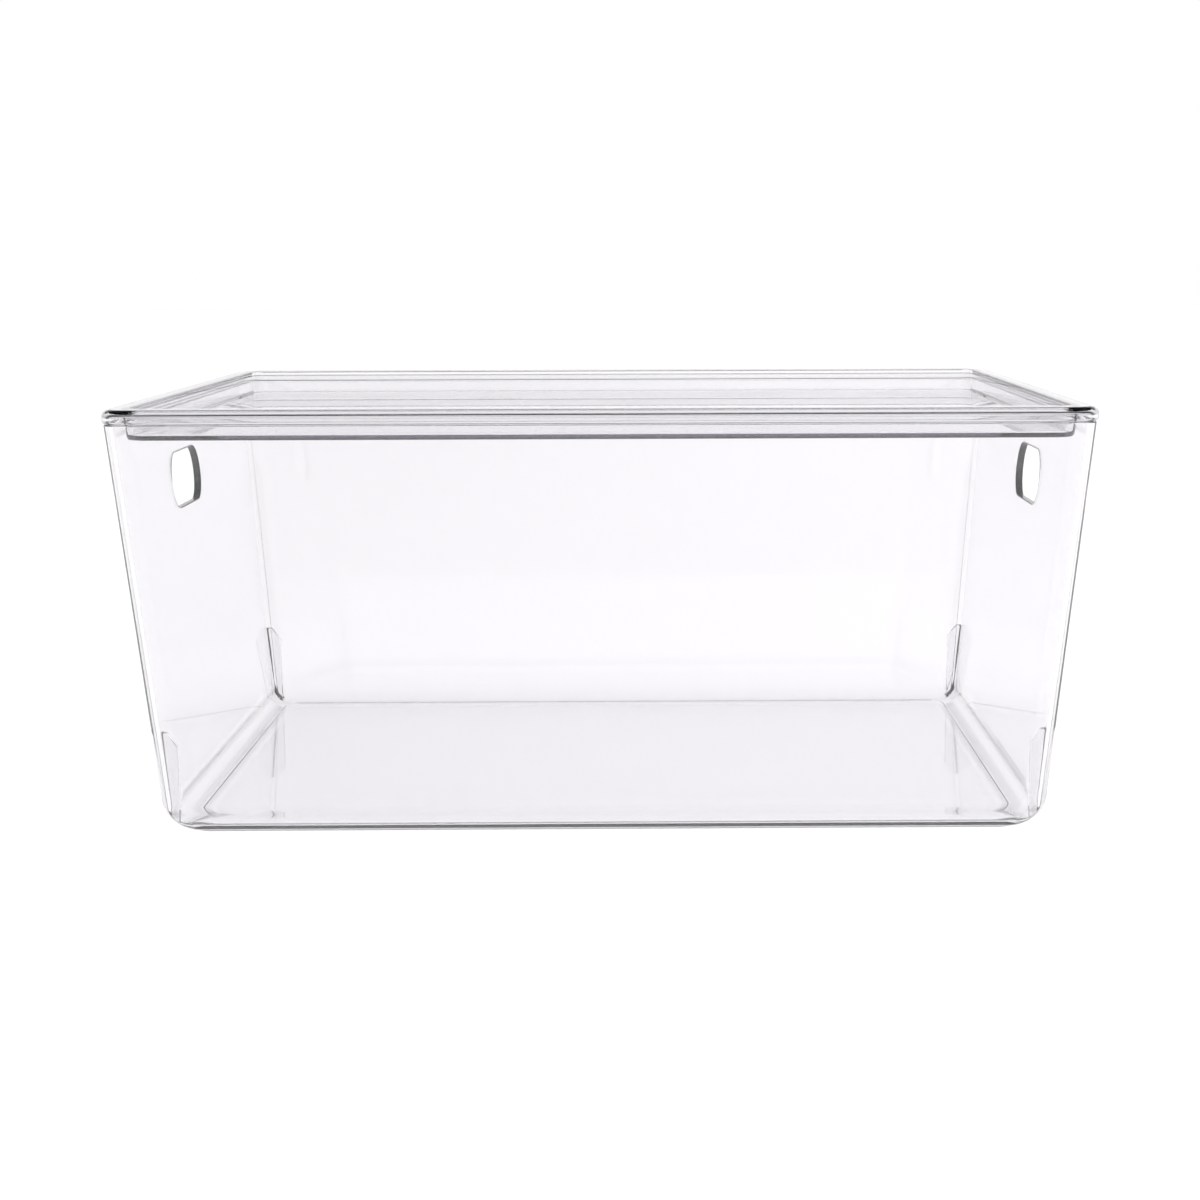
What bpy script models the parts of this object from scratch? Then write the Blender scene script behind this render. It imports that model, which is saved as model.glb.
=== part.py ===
"""A clear storage bin for a fridge shelf, with a lift-off lid.

The bin is one moulding: four walls that lean outwards, a rounded foot, a hand slot through each end
wall, and four upright ribs inside that keep nested bins from jamming. The lid is the second moulding:
its flange lies on the bin's rim, its plug drops inside the walls, and the tray in it takes the foot of
a bin stacked on top.

Metres, +Z up. X runs along the length, and -Y is the front. The origin is under the middle of the bin.
"""

import math

import bmesh
import bpy

# The bin's driving dimensions
BIN_LENGTH = 0.323  # along X, over the rim
BIN_DEPTH = 0.212  # along Y, over the rim
BIN_HEIGHT = 0.1413  # from the underside to the rim
WALL_SLOPE = 0.082  # how far a wall leans out for each unit that it rises
WALL = 0.0027  # thickness of the four walls, measured level
FLOOR = 0.0034  # thickness of the floor
CORNER_RADIUS = 0.0095  # the upright corners, outside
FOOT_RADIUS = 0.0130  # the edge round the underside, outside
INNER_FOOT_RADIUS = 0.0060  # the edge round the floor, inside
EDGE_RADIUS = 0.0004  # the fine rounding that a mould leaves on a free edge

# The hand slots, one through each end wall, in line with each other
SLOT_LENGTH = 0.040  # along Y, over the bowed ends
SLOT_HEIGHT = 0.020
SLOT_BOW = 0.0075  # how far each end bows out from the straight top and bottom
SLOT_FROM_RIM = 0.0270  # from the rim down to the slot's middle
SLOT_FORWARD = 0.0120  # from the middle of the end wall towards the front

# The ribs that keep nested bins apart
RIB_TOP = 0.0363  # height of a rib's top over the underside
RIB_REACH = 0.0058  # how far a rib stands off the wall at its top
RIB_LEDGE = 0.0020  # the level part of its top, before the lead-in slope
RIB_LEAD = 0.0048  # height of the lead-in slope
RIB_THICKNESS = 0.0020  # along Y
RIB_SETBACK = 0.0065  # from the inner face of the front or back wall, at a rib's top, to its middle

# The lid's driving dimensions
LID_OVERHANG = 0.0005  # how far the flange stands out past the rim
SEAT_GAP = 0.0003  # air between the rim and the flange
FLANGE_THICKNESS = 0.0047
FLANGE_RADIUS = 0.0017  # the rounding of the flange's outer edges
PLATE = 0.0019  # thickness of the flange's top, over the recess in its underside
SKIRT = 0.0020  # thickness of the flange's outer edge, which lies on the rim round that recess
PLUG_CLEARANCE = 0.0030  # level gap between the plug and the bin's walls
PLUG_DROP = 0.0055  # from the flange's underside to the plug's
PLUG_WALL = 0.0025
PLUG_CORNER = 0.0075  # the plug's upright corners, outside
PLUG_RADIUS = 0.0012  # the rounding round the plug's underside
PANEL = 0.0015  # thickness of the panel at the bottom of the tray
TRAY_RADIUS = 0.0010  # the rounding where the tray's walls meet the panel

CLEAR_PLASTIC = (0.90, 0.90, 0.94, 0.32)
PLASTIC_ROUGHNESS = 0.06
PLASTIC_IOR = 1.57
CORNER_SEGMENTS = 6
EDGE_SEGMENTS = 4
FINE_SEGMENTS = 2
FREE_EDGE_ANGLE = math.radians(50.0)  # an edge that turns more than this is a free edge
SLOT_STEPS = 8  # straight pieces in each quarter of a slot's bowed end
PAST = 0.010  # how far a cutter runs past the face that it cuts
SMOOTH_ANGLE = math.radians(30.0)


def new_collection(name):
    collection = bpy.data.collections.new(name)
    bpy.context.scene.collection.children.link(collection)
    return collection


def move_to(obj, collection):
    for owner in list(obj.users_collection):
        owner.objects.unlink(obj)
    collection.objects.link(obj)


def clear_plastic(name):
    material = bpy.data.materials.new(name)
    material.use_nodes = True
    shader = material.node_tree.nodes["Principled BSDF"]
    shader.inputs["Base Color"].default_value = CLEAR_PLASTIC
    shader.inputs["Roughness"].default_value = PLASTIC_ROUGHNESS
    shader.inputs["Metallic"].default_value = 0.0
    shader.inputs["Transmission Weight"].default_value = 1.0
    shader.inputs["IOR"].default_value = PLASTIC_IOR
    shader.inputs["Alpha"].default_value = CLEAR_PLASTIC[3]
    return material


def wall_lean(drop):
    """How far a wall's face has come in, at this distance under the rim."""
    return WALL_SLOPE * drop


def block(name, length, depth, bottom, top, upright, foot=0.0, edges=0.0, slope=WALL_SLOPE):
    """A box from z = bottom to z = top, length by depth at its top and narrower below by the walls' slope.

    upright is the radius of its four upright edges. foot is that of a large rounding round its underside,
    which blends into the uprights, and edges that of a small one round both its upper and lower faces.
    """
    bpy.ops.mesh.primitive_cube_add(size=1.0, location=(0.0, 0.0, 0.0))
    obj = bpy.context.object
    obj.name = name
    obj.data.name = name
    inset = slope * (top - bottom)
    for vertex in obj.data.vertices:
        low = vertex.co.z < 0.0
        half_x = length / 2.0 - (inset if low else 0.0)
        half_y = depth / 2.0 - (inset if low else 0.0)
        height = bottom if low else top
        vertex.co = (math.copysign(half_x, vertex.co.x), math.copysign(half_y, vertex.co.y), height)
    largest = max(upright, foot)
    middle = (bottom + top) / 2.0
    weights = obj.data.attributes.new("bevel_weight_edge", "FLOAT", "EDGE")
    for edge in obj.data.edges:
        low_ends = sum(obj.data.vertices[index].co.z < middle for index in edge.vertices)
        radius = (0.0, upright, foot)[low_ends]
        weights.data[edge.index].value = radius / largest
    add_bevel(obj, "corners", "WEIGHT", largest, CORNER_SEGMENTS)
    if edges:
        add_bevel(obj, "edges", "ANGLE", edges, EDGE_SEGMENTS)
    return obj


def add_bevel(obj, name, limit, width, segments):
    bevel = obj.modifiers.new(name, "BEVEL")
    bevel.limit_method = limit
    bevel.angle_limit = FREE_EDGE_ANGLE
    bevel.width = width
    bevel.segments = segments
    bevel.use_clamp_overlap = False


def make_cutter(obj, collection):
    obj.hide_render = True
    obj.display_type = "WIRE"
    move_to(obj, collection)
    return obj


def boolean(obj, operation, other, name):
    modifier = obj.modifiers.new(name, "BOOLEAN")
    modifier.operation = operation
    modifier.object = other
    modifier.solver = "EXACT"


def slot_cutter(collection):
    """A bar along X with a hand slot's outline, long enough to cut both end walls."""
    half_straight = SLOT_LENGTH / 2.0 - SLOT_BOW
    outline = []
    for end in (1.0, -1.0):
        for step in range(2 * SLOT_STEPS + 1):
            angle = math.pi / 2.0 - math.pi * step / (2 * SLOT_STEPS)
            along = half_straight + SLOT_BOW * math.cos(angle)
            outline.append((end * along, end * SLOT_HEIGHT / 2.0 * math.sin(angle)))
    return extruded(
        "slot_cutter", outline, BIN_LENGTH + 2.0 * PAST, collection,
        location=(0.0, -SLOT_FORWARD, BIN_HEIGHT - SLOT_FROM_RIM),
        rotation=(math.pi / 2.0, 0.0, math.pi / 2.0),
    )


def extruded(name, outline, thickness, collection, location, rotation):
    """A flat outline, given a thickness centred on its plane and turned into a closed mesh."""
    curve = bpy.data.curves.new(name, "CURVE")
    curve.dimensions = "2D"
    curve.fill_mode = "BOTH"
    curve.extrude = thickness / 2.0
    spline = curve.splines.new("POLY")
    spline.points.add(len(outline) - 1)
    for point, (x, y) in zip(spline.points, outline):
        point.co = (x, y, 0.0, 1.0)
    spline.use_cyclic_u = True
    flat = bpy.data.objects.new(name + "_outline", curve)
    collection.objects.link(flat)
    flat.location = location
    flat.rotation_euler = rotation
    bpy.context.view_layer.update()
    graph = bpy.context.evaluated_depsgraph_get()
    mesh = bpy.data.meshes.new_from_object(flat.evaluated_get(graph))
    bm = bmesh.new()
    bm.from_mesh(mesh)
    bmesh.ops.remove_doubles(bm, verts=bm.verts, dist=1e-6)
    bmesh.ops.recalc_face_normals(bm, faces=bm.faces)
    bm.to_mesh(mesh)
    bm.free()
    solid = bpy.data.objects.new(name, mesh)
    solid.matrix_world = flat.matrix_world
    bpy.data.objects.remove(flat)
    return make_cutter(solid, collection)


def rib_cutter(end, side, collection):
    """The space of one rib, left standing when the cavity is cut: end is -1 or 1 along X, side along Y."""
    drop = BIN_HEIGHT - RIB_TOP
    wall_x = BIN_LENGTH / 2.0 - WALL - wall_lean(drop)
    rib_y = BIN_DEPTH / 2.0 - WALL - wall_lean(drop) - RIB_SETBACK
    free_x = wall_x - RIB_REACH
    outline = [
        (wall_x + WALL, -PAST),
        (wall_x + WALL, RIB_TOP),
        (wall_x - RIB_LEDGE, RIB_TOP),
        (free_x, RIB_TOP - RIB_LEAD),
        (free_x, -PAST),
    ]
    outline = [(end * x, z) for x, z in outline]
    return extruded(
        "rib_space", outline, RIB_THICKNESS, collection,
        location=(0.0, side * rib_y, 0.0), rotation=(math.pi / 2.0, 0.0, 0.0),
    )


def build_bin(parts, cutters):
    """The outer block, less the cavity and the hand slots."""
    body = block("bin", BIN_LENGTH, BIN_DEPTH, 0.0, BIN_HEIGHT, CORNER_RADIUS, foot=FOOT_RADIUS)
    flare = 2.0 * wall_lean(-PAST)
    cavity = block(
        "cavity", BIN_LENGTH - 2.0 * WALL - flare, BIN_DEPTH - 2.0 * WALL - flare, FLOOR,
        BIN_HEIGHT + PAST, CORNER_RADIUS - WALL, foot=INNER_FOOT_RADIUS,
    )
    make_cutter(cavity, cutters)
    for end in (-1.0, 1.0):
        for side in (-1.0, 1.0):
            boolean(cavity, "DIFFERENCE", rib_cutter(end, side, cutters), "leave_rib")
    boolean(body, "DIFFERENCE", cavity, "hollow")
    boolean(body, "DIFFERENCE", slot_cutter(cutters), "hand_slots")
    finish(body, parts)


def build_lid(parts, cutters):
    """The flange with a recess in its underside, and the plug that hangs in the recess, less the tray."""
    underside = BIN_HEIGHT + SEAT_GAP
    top = underside + FLANGE_THICKNESS
    plug_bottom = underside - PLUG_DROP
    flange_length = BIN_LENGTH + 2.0 * LID_OVERHANG
    flange_depth = BIN_DEPTH + 2.0 * LID_OVERHANG
    lid = block(
        "lid", flange_length, flange_depth, underside, top, CORNER_RADIUS + LID_OVERHANG,
        edges=FLANGE_RADIUS, slope=0.0,
    )
    recess = block(
        "recess", flange_length - 2.0 * SKIRT, flange_depth - 2.0 * SKIRT, underside - PAST, top - PLATE,
        CORNER_RADIUS + LID_OVERHANG - SKIRT, slope=0.0,
    )
    make_cutter(recess, cutters)
    # The plug's sizes at the middle of the plate, which it runs into
    joined_at = top - PLATE / 2.0
    inset = WALL + PLUG_CLEARANCE + wall_lean(BIN_HEIGHT - joined_at)
    plug = block(
        "plug", BIN_LENGTH - 2.0 * inset, BIN_DEPTH - 2.0 * inset, plug_bottom, joined_at,
        PLUG_CORNER, edges=PLUG_RADIUS,
    )
    make_cutter(plug, cutters)
    inset = WALL + PLUG_CLEARANCE + PLUG_WALL + wall_lean(BIN_HEIGHT - top - PAST)
    tray = block(
        "tray", BIN_LENGTH - 2.0 * inset, BIN_DEPTH - 2.0 * inset, plug_bottom + PANEL, top + PAST,
        PLUG_CORNER - PLUG_WALL, edges=TRAY_RADIUS,
    )
    make_cutter(tray, cutters)
    boolean(lid, "DIFFERENCE", recess, "recess")
    boolean(lid, "UNION", plug, "plug")
    boolean(lid, "DIFFERENCE", tray, "tray")
    finish(lid, parts)


def finish(obj, parts):
    """Fine rounding of the free edges, material, smooth shading and a place in the object's collection."""
    add_bevel(obj, "fine_rounding", "ANGLE", EDGE_RADIUS, FINE_SEGMENTS)
    obj.data.materials.append(clear_plastic(obj.name + "_plastic"))
    obj.data.shade_smooth()
    obj.data.set_sharp_from_angle(angle=SMOOTH_ANGLE)
    move_to(obj, parts)


def main():
    for obj in list(bpy.data.objects):
        bpy.data.objects.remove(obj)
    parts = new_collection("fridge_bin")
    cutters = new_collection("cutters")
    build_bin(parts, cutters)
    build_lid(parts, cutters)


main()
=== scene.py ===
"""The looks of the clear fridge bin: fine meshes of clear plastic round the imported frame, on a white sweep.

Metres, +Z up, -Y is the front, the origin is under the middle of the bin.
"""

import math

import bmesh
import bpy
from mathutils import Matrix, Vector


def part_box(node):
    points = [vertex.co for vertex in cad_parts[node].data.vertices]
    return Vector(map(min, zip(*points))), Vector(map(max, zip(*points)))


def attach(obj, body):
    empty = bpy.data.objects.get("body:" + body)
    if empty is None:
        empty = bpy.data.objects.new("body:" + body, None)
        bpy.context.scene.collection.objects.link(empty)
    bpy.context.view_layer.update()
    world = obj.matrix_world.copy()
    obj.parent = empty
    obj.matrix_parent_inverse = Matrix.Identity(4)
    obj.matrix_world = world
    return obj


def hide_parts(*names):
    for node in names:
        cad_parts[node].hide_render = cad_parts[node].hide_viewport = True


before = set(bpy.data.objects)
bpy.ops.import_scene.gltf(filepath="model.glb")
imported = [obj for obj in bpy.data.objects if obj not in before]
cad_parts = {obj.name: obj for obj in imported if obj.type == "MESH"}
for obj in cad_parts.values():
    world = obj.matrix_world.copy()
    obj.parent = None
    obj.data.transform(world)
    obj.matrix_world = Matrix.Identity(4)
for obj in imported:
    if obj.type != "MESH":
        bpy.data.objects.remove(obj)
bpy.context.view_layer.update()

# Overall sizes, from the frame
bin_low, bin_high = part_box("bin")
lid_low, lid_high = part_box("lid")
BIN_LENGTH = bin_high.x - bin_low.x
BIN_DEPTH = bin_high.y - bin_low.y
BIN_HEIGHT = bin_high.z - bin_low.z
LID_LENGTH = lid_high.x - lid_low.x
LID_DEPTH = lid_high.y - lid_low.y
LID_TOP = lid_high.z
PLUG_BOTTOM = lid_low.z

# The bin's own sizes: walls, floor and rounded edges
WALL_SLOPE = 0.082
WALL = 0.0027
FLOOR = 0.0034
CORNER_RADIUS = 0.0095
FOOT_RADIUS = 0.0130
FOOT_CORNER = 0.0070
INNER_FOOT_RADIUS = 0.0060
FLOOR_STEP = 0.0003  # how far the floor inside is sunk
EDGE_RADIUS = 0.0004

# The hand slots and the ribs
SLOT_LENGTH = 0.040
SLOT_HEIGHT = 0.020
SLOT_BOW = 0.0075
SLOT_FROM_RIM = 0.0270
SLOT_FORWARD = 0.0120
RIB_TOP = 0.0363
RIB_REACH = 0.0058
RIB_LEDGE = 0.0020
RIB_LEAD = 0.0048
RIB_THICKNESS = 0.0020
RIB_SETBACK = 0.0065

# The lid: its flange with the recess underneath, its plug and the tray in it
SEAT_GAP = 0.0003
FLANGE_LOW_RADIUS = 0.0009
FLANGE_TOP_RADIUS = 0.0026
SKIRT = 0.0020
PLATE = 0.0019
PLUG_CLEARANCE = 0.0030
PLUG_WALL = 0.0025
PLUG_CORNER = 0.0075
PLUG_RADIUS = 0.0012
PANEL = 0.0015
TRAY_RADIUS = 0.0010

# How finely the rounded shapes are made
CORNER_SEGMENTS = 14
EDGE_SEGMENTS = 8
FINE_SEGMENTS = 3
SLOT_STEPS = 24
FREE_EDGE_ANGLE = math.radians(50.0)  # an edge that turns more than this is a free edge
MERGE_WITHIN = 1e-6
PAST = 0.010  # how far a cutter runs past the face that it cuts

# The plastic: its colour in thin sheets, its darkness in long paths, its haze and its mould ripple
PLASTIC_IOR = 1.57
PLASTIC_COLOUR = (0.925, 0.918, 0.930, 1.0)
ABSORPTION = 22.0
ABSORPTION_COLOUR = (0.565, 0.55, 0.62, 1.0)
HAZE_SCALE = 35.0
HAZE_DETAIL = 5.0
HAZE_NOISE = (0.35, 0.75)
HAZE_ROUGHNESS = (0.0, 0.035)
RIPPLE_SCALE = 14.0
RIPPLE_DETAIL = 1.0
RIPPLE_STRENGTH = 0.006
RIPPLE_HEIGHT = 0.001

# The world: bright behind and in front of the bin, and dim at the sides and overhead. ACROSS, BEHIND and
# IN_FRONT are stretches of the direction looked in, along X and Y, over which the brightness changes.
WHITE = (1.0, 1.0, 1.0, 1.0)
ACROSS = (-0.2, 0.2)
WORLD_SIDEWAYS = (1.01, 1.09)
BEHIND = (0.5, 0.8)
BRIGHT_BEHIND = 1.0
IN_FRONT = (-0.5, -0.8)
BRIGHT_IN_FRONT = 0.7
DIM = 0.12
BRIGHT_BY_HEIGHT = ((0.40, 1.0), (0.60, 0.30), (0.80, 0.10))

# The soft light overhead, and the white sweep that the bin stands on
SUN_ENERGY = 3.75
SUN_ANGLE = math.radians(80.0)
SWEEP_SIZE = 12.0
SWEEP_DROP = 0.0002
# Painted light: the sweep's colour runs a little brighter to the right over this stretch along X
SWEEP_PAINTED_LIGHT_ACROSS = (-0.2, 0.2)
SWEEP_PAINTED_LIGHT = (0.885, 0.945)
SWEEP_ROUGHNESS = 0.9

# How many times light is followed: the plastic's dark edges are long paths inside it
MAX_BOUNCES = 32
GLOSSY_BOUNCES = 24
TRANSMISSION_BOUNCES = 32

# The camera: its place, the directions it turns to, its lens and its small shift
CAMERA_PLACE = (0.0160, -0.6929, 0.1948)
CAMERA_DOWN = 0.152
CAMERA_YAW = -0.008
CAMERA_ROLL = -0.003
CAMERA_LENS = 55.06
CAMERA_SENSOR = 36.0
CAMERA_SHIFT = (-0.0546, -0.0527)
CAMERA_NEAR = 0.01


def new_collection(name):
    collection = bpy.data.collections.new(name)
    bpy.context.scene.collection.children.link(collection)
    return collection


def move_to(obj, collection):
    for owner in list(obj.users_collection):
        owner.objects.unlink(obj)
    collection.objects.link(obj)


def wall_lean(drop):
    """How far a wall's face has come in, at this distance under the rim."""
    return WALL_SLOPE * drop


def outline_at(half_x, half_y, radius, height):
    """The points round one level section: a rectangle with rounded corners."""
    points = []
    for quarter, (sign_x, sign_y) in enumerate(((1.0, 1.0), (-1.0, 1.0), (-1.0, -1.0), (1.0, -1.0))):
        for step in range(CORNER_SEGMENTS + 1):
            angle = math.pi / 2.0 * (quarter + step / CORNER_SEGMENTS)
            x = sign_x * (half_x - radius) + radius * math.cos(angle)
            y = sign_y * (half_y - radius) + radius * math.sin(angle)
            points.append((x, y, height))
    return points


def rounding(radius, turn, upright, corner=None, sunk=0.0):
    """Sections of a rounded edge from its flat face to its wall: distance in, height, corner radius.

    turn is the angle from the flat face to the wall. corner is the corner radius of the flat face, where it
    isn't just what the rounding leaves, and sunk is how far the flat face is sunk.
    """
    if not radius:
        return [(0.0, 0.0, upright)]
    reach = radius * math.tan(turn / 2.0)
    corner = corner or upright - reach
    sections = [(reach, -sunk, corner)] if sunk else []
    for step in range(EDGE_SEGMENTS + 1):
        angle = turn * step / EDGE_SEGMENTS
        blend = math.sin(angle) / math.sin(turn)
        inward = reach - radius * math.sin(angle)
        sections.append((inward, radius * (1.0 - math.cos(angle)), corner + (upright - corner) * blend))
    return sections


def block(name, length, depth, bottom, top, upright, low=0.0, high=0.0, slope=WALL_SLOPE, **low_face):
    """A box, length by depth at its top and narrower below by the walls' slope, with rounded edges.

    upright is the radius of its upright edges, low and high those of the edges round its two flat faces,
    and low_face says more about the lower one.
    """
    lean = math.atan(slope)
    narrower = slope * (top - bottom)
    sections = []
    for inward, rise, corner in rounding(low, math.pi / 2.0 - lean, upright, **low_face):
        sections.append((narrower + inward, bottom + rise, corner))
    for inward, fall, corner in reversed(rounding(high, math.pi / 2.0 + lean, upright)):
        sections.append((inward, top - fall, corner))
    bm = bmesh.new()
    rings = []
    for inward, height, corner in sections:
        points = outline_at(length / 2.0 - inward, depth / 2.0 - inward, corner, height)
        rings.append([bm.verts.new(point) for point in points])
    for lower, upper in zip(rings, rings[1:]):
        for index in range(len(lower)):
            after = (index + 1) % len(lower)
            bm.faces.new((lower[index], lower[after], upper[after], upper[index]))
    bm.faces.new(reversed(rings[0]))
    bm.faces.new(rings[-1])
    mesh = bpy.data.meshes.new(name)
    bm.to_mesh(mesh)
    bm.free()
    obj = bpy.data.objects.new(name, mesh)
    bpy.context.scene.collection.objects.link(obj)
    return obj


def make_cutter(obj, collection):
    obj.hide_render = True
    obj.display_type = "WIRE"
    move_to(obj, collection)
    return obj


def boolean(obj, operation, other, name):
    modifier = obj.modifiers.new(name, "BOOLEAN")
    modifier.operation = operation
    modifier.object = other
    modifier.solver = "EXACT"


def extruded(name, outline, thickness, collection, location, rotation):
    """A flat outline, given a thickness centred on its plane and turned into a closed mesh."""
    curve = bpy.data.curves.new(name, "CURVE")
    curve.dimensions = "2D"
    curve.fill_mode = "BOTH"
    curve.extrude = thickness / 2.0
    spline = curve.splines.new("POLY")
    spline.points.add(len(outline) - 1)
    for point, (x, y) in zip(spline.points, outline):
        point.co = (x, y, 0.0, 1.0)
    spline.use_cyclic_u = True
    flat = bpy.data.objects.new(name + "_outline", curve)
    collection.objects.link(flat)
    flat.location = location
    flat.rotation_euler = rotation
    bpy.context.view_layer.update()
    graph = bpy.context.evaluated_depsgraph_get()
    mesh = bpy.data.meshes.new_from_object(flat.evaluated_get(graph))
    bm = bmesh.new()
    bm.from_mesh(mesh)
    bmesh.ops.remove_doubles(bm, verts=bm.verts, dist=MERGE_WITHIN)
    bmesh.ops.recalc_face_normals(bm, faces=bm.faces)
    bm.to_mesh(mesh)
    bm.free()
    solid = bpy.data.objects.new(name, mesh)
    solid.matrix_world = flat.matrix_world
    bpy.data.objects.remove(flat)
    return make_cutter(solid, collection)


def slot_cutter(collection):
    """A bar along X with a hand slot's outline, long enough to cut both end walls."""
    half_straight = SLOT_LENGTH / 2.0 - SLOT_BOW
    outline = []
    for end in (1.0, -1.0):
        for step in range(2 * SLOT_STEPS + 1):
            angle = math.pi / 2.0 - math.pi * step / (2 * SLOT_STEPS)
            along = half_straight + SLOT_BOW * math.cos(angle)
            outline.append((end * along, end * SLOT_HEIGHT / 2.0 * math.sin(angle)))
    return extruded(
        "slot_cutter", outline, BIN_LENGTH + 2.0 * PAST, collection,
        location=(0.0, -SLOT_FORWARD, BIN_HEIGHT - SLOT_FROM_RIM),
        rotation=(math.pi / 2.0, 0.0, math.pi / 2.0),
    )


def rib_cutter(end, side, collection):
    """The space of one rib, left standing when the cavity is cut: end is -1 or 1 along X, side along Y."""
    drop = BIN_HEIGHT - RIB_TOP
    wall_x = BIN_LENGTH / 2.0 - WALL - wall_lean(drop)
    rib_y = BIN_DEPTH / 2.0 - WALL - wall_lean(drop) - RIB_SETBACK
    free_x = wall_x - RIB_REACH
    outline = [
        (wall_x + WALL, -PAST),
        (wall_x + WALL, RIB_TOP),
        (wall_x - RIB_LEDGE, RIB_TOP),
        (free_x, RIB_TOP - RIB_LEAD),
        (free_x, -PAST),
    ]
    outline = [(end * x, z) for x, z in outline]
    return extruded(
        "rib_space", outline, RIB_THICKNESS, collection,
        location=(0.0, side * rib_y, 0.0), rotation=(math.pi / 2.0, 0.0, 0.0),
    )


def settle(obj, collection):
    """Rounds an object's free edges and makes it a plain mesh, smooth-shaded with its flat faces flat."""
    move_to(obj, collection)
    bevel = obj.modifiers.new("fine_rounding", "BEVEL")
    bevel.limit_method = "ANGLE"
    bevel.angle_limit = FREE_EDGE_ANGLE
    bevel.width = EDGE_RADIUS
    bevel.segments = FINE_SEGMENTS
    bevel.use_clamp_overlap = False
    bpy.context.view_layer.update()
    graph = bpy.context.evaluated_depsgraph_get()
    mesh = bpy.data.meshes.new_from_object(obj.evaluated_get(graph))
    piece = bpy.data.objects.new(obj.name + "_piece", mesh)
    collection.objects.link(piece)
    bpy.data.objects.remove(obj)
    mesh.shade_smooth()
    normals = piece.modifiers.new("flat_faces", "WEIGHTED_NORMAL")
    normals.mode = "FACE_AREA"
    normals.weight = 100
    normals.keep_sharp = False
    return piece


def build_bin(pieces, cutters):
    """The outer block, less the cavity and the hand slots."""
    body = block(
        "clear_bin", BIN_LENGTH, BIN_DEPTH, 0.0, BIN_HEIGHT, CORNER_RADIUS, low=FOOT_RADIUS,
        corner=FOOT_CORNER,
    )
    flare = 2.0 * wall_lean(-PAST)
    cavity = block(
        "cavity", BIN_LENGTH - 2.0 * WALL - flare, BIN_DEPTH - 2.0 * WALL - flare, FLOOR,
        BIN_HEIGHT + PAST, CORNER_RADIUS - WALL, low=INNER_FOOT_RADIUS,
        corner=FOOT_CORNER - WALL, sunk=FLOOR_STEP,
    )
    make_cutter(cavity, cutters)
    for end in (-1.0, 1.0):
        for side in (-1.0, 1.0):
            boolean(cavity, "DIFFERENCE", rib_cutter(end, side, cutters), "leave_rib")
    boolean(body, "DIFFERENCE", cavity, "hollow")
    boolean(body, "DIFFERENCE", slot_cutter(cutters), "hand_slots")
    return settle(body, pieces)


def build_lid(pieces, cutters):
    """The flange with a recess in its underside, and the plug that hangs in the recess, less the tray."""
    underside = BIN_HEIGHT + SEAT_GAP
    overhang = (LID_LENGTH - BIN_LENGTH) / 2.0
    lid = block(
        "clear_lid", LID_LENGTH, LID_DEPTH, underside, LID_TOP, CORNER_RADIUS + overhang,
        low=FLANGE_LOW_RADIUS, high=FLANGE_TOP_RADIUS, slope=0.0,
    )
    recess_top = LID_TOP - PLATE
    recess = block(
        "recess", LID_LENGTH - 2.0 * SKIRT, LID_DEPTH - 2.0 * SKIRT, underside - PAST, recess_top,
        CORNER_RADIUS + overhang - SKIRT, high=TRAY_RADIUS, slope=0.0,
    )
    make_cutter(recess, cutters)
    # The plug's sizes at the middle of the plate, which it runs into
    joined_at = LID_TOP - PLATE / 2.0
    inset = WALL + PLUG_CLEARANCE + wall_lean(BIN_HEIGHT - joined_at)
    plug = block(
        "plug", BIN_LENGTH - 2.0 * inset, BIN_DEPTH - 2.0 * inset, PLUG_BOTTOM, joined_at,
        PLUG_CORNER, low=PLUG_RADIUS,
    )
    make_cutter(plug, cutters)
    inset = WALL + PLUG_CLEARANCE + PLUG_WALL + wall_lean(BIN_HEIGHT - LID_TOP - PAST)
    tray = block(
        "tray", BIN_LENGTH - 2.0 * inset, BIN_DEPTH - 2.0 * inset, PLUG_BOTTOM + PANEL, LID_TOP + PAST,
        PLUG_CORNER - PLUG_WALL, low=TRAY_RADIUS,
    )
    make_cutter(tray, cutters)
    boolean(lid, "DIFFERENCE", recess, "recess")
    boolean(lid, "UNION", plug, "plug")
    boolean(lid, "DIFFERENCE", tray, "tray")
    return settle(lid, pieces)


def map_range(nodes, links, value, source, target):
    """A value taken from one range to another, and held at its ends."""
    node = nodes.new("ShaderNodeMapRange")
    node.inputs["From Min"].default_value, node.inputs["From Max"].default_value = source
    node.inputs["To Min"].default_value, node.inputs["To Max"].default_value = target
    links.new(value, node.inputs["Value"])
    return node.outputs["Result"]


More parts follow.
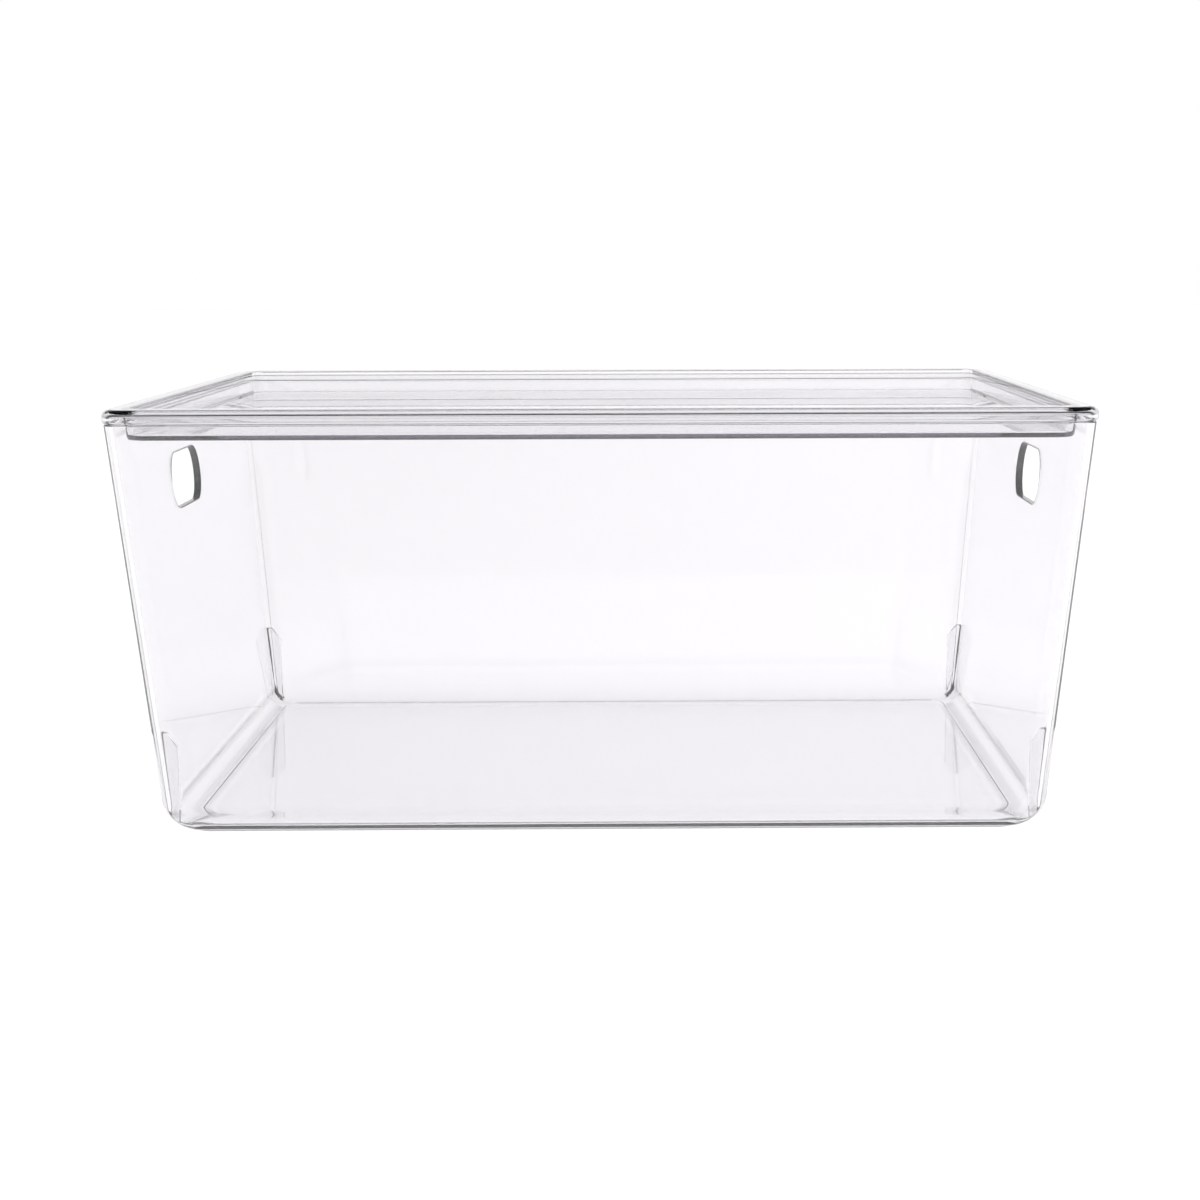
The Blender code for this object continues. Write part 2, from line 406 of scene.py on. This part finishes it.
def clear_plastic():
    """Clear moulded plastic: faintly violet where it is thick, with soft mould ripple and fine haze."""
    material = bpy.data.materials.new("clear_plastic")
    material.use_nodes = True
    tree = material.node_tree
    nodes, links = tree.nodes, tree.links
    nodes.clear()
    output = nodes.new("ShaderNodeOutputMaterial")
    shader = nodes.new("ShaderNodeBsdfPrincipled")
    shader.inputs["Base Color"].default_value = PLASTIC_COLOUR
    shader.inputs["Transmission Weight"].default_value = 1.0
    shader.inputs["IOR"].default_value = PLASTIC_IOR
    place = nodes.new("ShaderNodeTexCoord")
    haze = nodes.new("ShaderNodeTexNoise")
    haze.inputs["Scale"].default_value = HAZE_SCALE
    haze.inputs["Detail"].default_value = HAZE_DETAIL
    links.new(place.outputs["Object"], haze.inputs["Vector"])
    roughness = map_range(nodes, links, haze.outputs["Fac"], HAZE_NOISE, HAZE_ROUGHNESS)
    links.new(roughness, shader.inputs["Roughness"])
    ripple = nodes.new("ShaderNodeTexNoise")
    ripple.inputs["Scale"].default_value = RIPPLE_SCALE
    ripple.inputs["Detail"].default_value = RIPPLE_DETAIL
    links.new(place.outputs["Object"], ripple.inputs["Vector"])
    bump = nodes.new("ShaderNodeBump")
    bump.inputs["Strength"].default_value = RIPPLE_STRENGTH
    bump.inputs["Distance"].default_value = RIPPLE_HEIGHT
    links.new(ripple.outputs["Fac"], bump.inputs["Height"])
    links.new(bump.outputs["Normal"], shader.inputs["Normal"])
    # Shadow rays and rays that light matt surfaces go straight through, so the sweep under it stays white
    clear = nodes.new("ShaderNodeBsdfTransparent")
    path = nodes.new("ShaderNodeLightPath")
    pass_light = nodes.new("ShaderNodeMixShader")
    through = nodes.new("ShaderNodeMath")
    through.operation = "MAXIMUM"
    links.new(path.outputs["Is Shadow Ray"], through.inputs[0])
    links.new(path.outputs["Is Diffuse Ray"], through.inputs[1])
    links.new(through.outputs["Value"], pass_light.inputs["Fac"])
    links.new(shader.outputs["BSDF"], pass_light.inputs[1])
    links.new(clear.outputs["BSDF"], pass_light.inputs[2])
    links.new(pass_light.outputs["Shader"], output.inputs["Surface"])
    depth = nodes.new("ShaderNodeVolumeAbsorption")
    depth.inputs["Color"].default_value = ABSORPTION_COLOUR
    depth.inputs["Density"].default_value = ABSORPTION
    links.new(depth.outputs["Volume"], output.inputs["Volume"])
    return material


def build_floor():
    """The sweep, its colour painted a little brighter to the right: painted light across the floor."""
    bpy.ops.mesh.primitive_plane_add(size=SWEEP_SIZE, location=(0.0, 0.0, -SWEEP_DROP))
    floor = bpy.context.object
    floor.name = "sweep"
    material = bpy.data.materials.new("white_sweep")
    material.use_nodes = True
    nodes, links = material.node_tree.nodes, material.node_tree.links
    shader = nodes["Principled BSDF"]
    place = nodes.new("ShaderNodeTexCoord")
    split = nodes.new("ShaderNodeSeparateXYZ")
    links.new(place.outputs["Object"], split.inputs["Vector"])
    # Painted light: the sweep's colour is a little brighter to the right
    shade = map_range(nodes, links, split.outputs["X"], SWEEP_PAINTED_LIGHT_ACROSS, SWEEP_PAINTED_LIGHT)
    links.new(shade, shader.inputs["Base Color"])
    shader.inputs["Roughness"].default_value = SWEEP_ROUGHNESS
    floor.data.materials.append(material)


def build_world():
    """Bright walls behind and in front of the bin, a little brighter to the right, in a dim room."""
    world = bpy.data.worlds.new("studio")
    bpy.context.scene.world = world
    world.use_nodes = True
    nodes, links = world.node_tree.nodes, world.node_tree.links
    background = nodes["Background"]
    place = nodes.new("ShaderNodeTexCoord")
    split = nodes.new("ShaderNodeSeparateXYZ")
    links.new(place.outputs["Generated"], split.inputs["Vector"])
    height = nodes.new("ShaderNodeValToRGB")
    stops = height.color_ramp.elements
    stops.new(BRIGHT_BY_HEIGHT[1][0])
    for stop, (rise, level) in zip(stops, BRIGHT_BY_HEIGHT):
        stop.position = rise
        stop.color = (level, level, level, 1.0)
    links.new(split.outputs["Z"], height.inputs["Fac"])
    behind = map_range(nodes, links, split.outputs["Y"], BEHIND, (DIM, BRIGHT_BEHIND))
    in_front = map_range(nodes, links, split.outputs["Y"], IN_FRONT, (DIM, BRIGHT_IN_FRONT))
    walls = nodes.new("ShaderNodeMath")
    walls.operation = "MAXIMUM"
    links.new(behind, walls.inputs[0])
    links.new(in_front, walls.inputs[1])
    sideways = map_range(nodes, links, split.outputs["X"], ACROSS, WORLD_SIDEWAYS)
    strength = nodes.new("ShaderNodeMath")
    strength.operation = "MULTIPLY"
    links.new(walls.outputs["Value"], strength.inputs[0])
    links.new(sideways, strength.inputs[1])
    links.new(height.outputs["Color"], background.inputs["Color"])
    links.new(strength.outputs["Value"], background.inputs["Strength"])
    # Seen directly it is white all round, so that every view has the same plain ground
    white = nodes.new("ShaderNodeBackground")
    white.inputs["Color"].default_value = WHITE
    path = nodes.new("ShaderNodeLightPath")
    seen = nodes.new("ShaderNodeMixShader")
    links.new(path.outputs["Is Camera Ray"], seen.inputs["Fac"])
    links.new(background.outputs["Background"], seen.inputs[1])
    links.new(white.outputs["Background"], seen.inputs[2])
    links.new(seen.outputs["Shader"], nodes["World Output"].inputs["Surface"])


def build_lights():
    """An even soft light from above, which the clear plastic itself doesn't show."""
    light = bpy.data.lights.new("overhead", "SUN")
    light.angle = SUN_ANGLE
    light.energy = SUN_ENERGY
    lamp = bpy.data.objects.new("overhead", light)
    bpy.context.scene.collection.objects.link(lamp)
    lamp.visible_camera = False
    lamp.visible_glossy = False
    lamp.visible_transmission = False


def build_camera():
    """The camera in front of the bin and above it, turned by small angles rather than aimed at a point."""
    data = bpy.data.cameras.new("camera")
    data.sensor_width = CAMERA_SENSOR
    data.lens = CAMERA_LENS
    data.shift_x, data.shift_y = CAMERA_SHIFT
    data.clip_start = CAMERA_NEAR
    camera = bpy.data.objects.new("camera", data)
    bpy.context.scene.collection.objects.link(camera)
    turn = (
        Matrix.Rotation(CAMERA_YAW, 4, "Z")
        @ Matrix.Rotation(math.pi / 2.0 - CAMERA_DOWN, 4, "X")
        @ Matrix.Rotation(CAMERA_ROLL, 4, "Z")
    )
    camera.matrix_world = Matrix.Translation(CAMERA_PLACE) @ turn
    bpy.context.scene.camera = camera


def main():
    pieces = new_collection("clear_pieces")
    cutters = new_collection("cutters")
    scene = bpy.context.scene
    scene.view_settings.view_transform = "Standard"
    scene.cycles.max_bounces = MAX_BOUNCES
    scene.cycles.glossy_bounces = GLOSSY_BOUNCES
    scene.cycles.transmission_bounces = TRANSMISSION_BOUNCES
    build_camera()
    build_world()
    build_lights()
    build_floor()
    plastic = clear_plastic()
    for build, node in ((build_bin, "bin"), (build_lid, "lid")):
        piece = build(pieces, cutters)
        piece.data.materials.clear()
        piece.data.materials.append(plastic)
        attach(piece, node)
        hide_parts(node)


main()
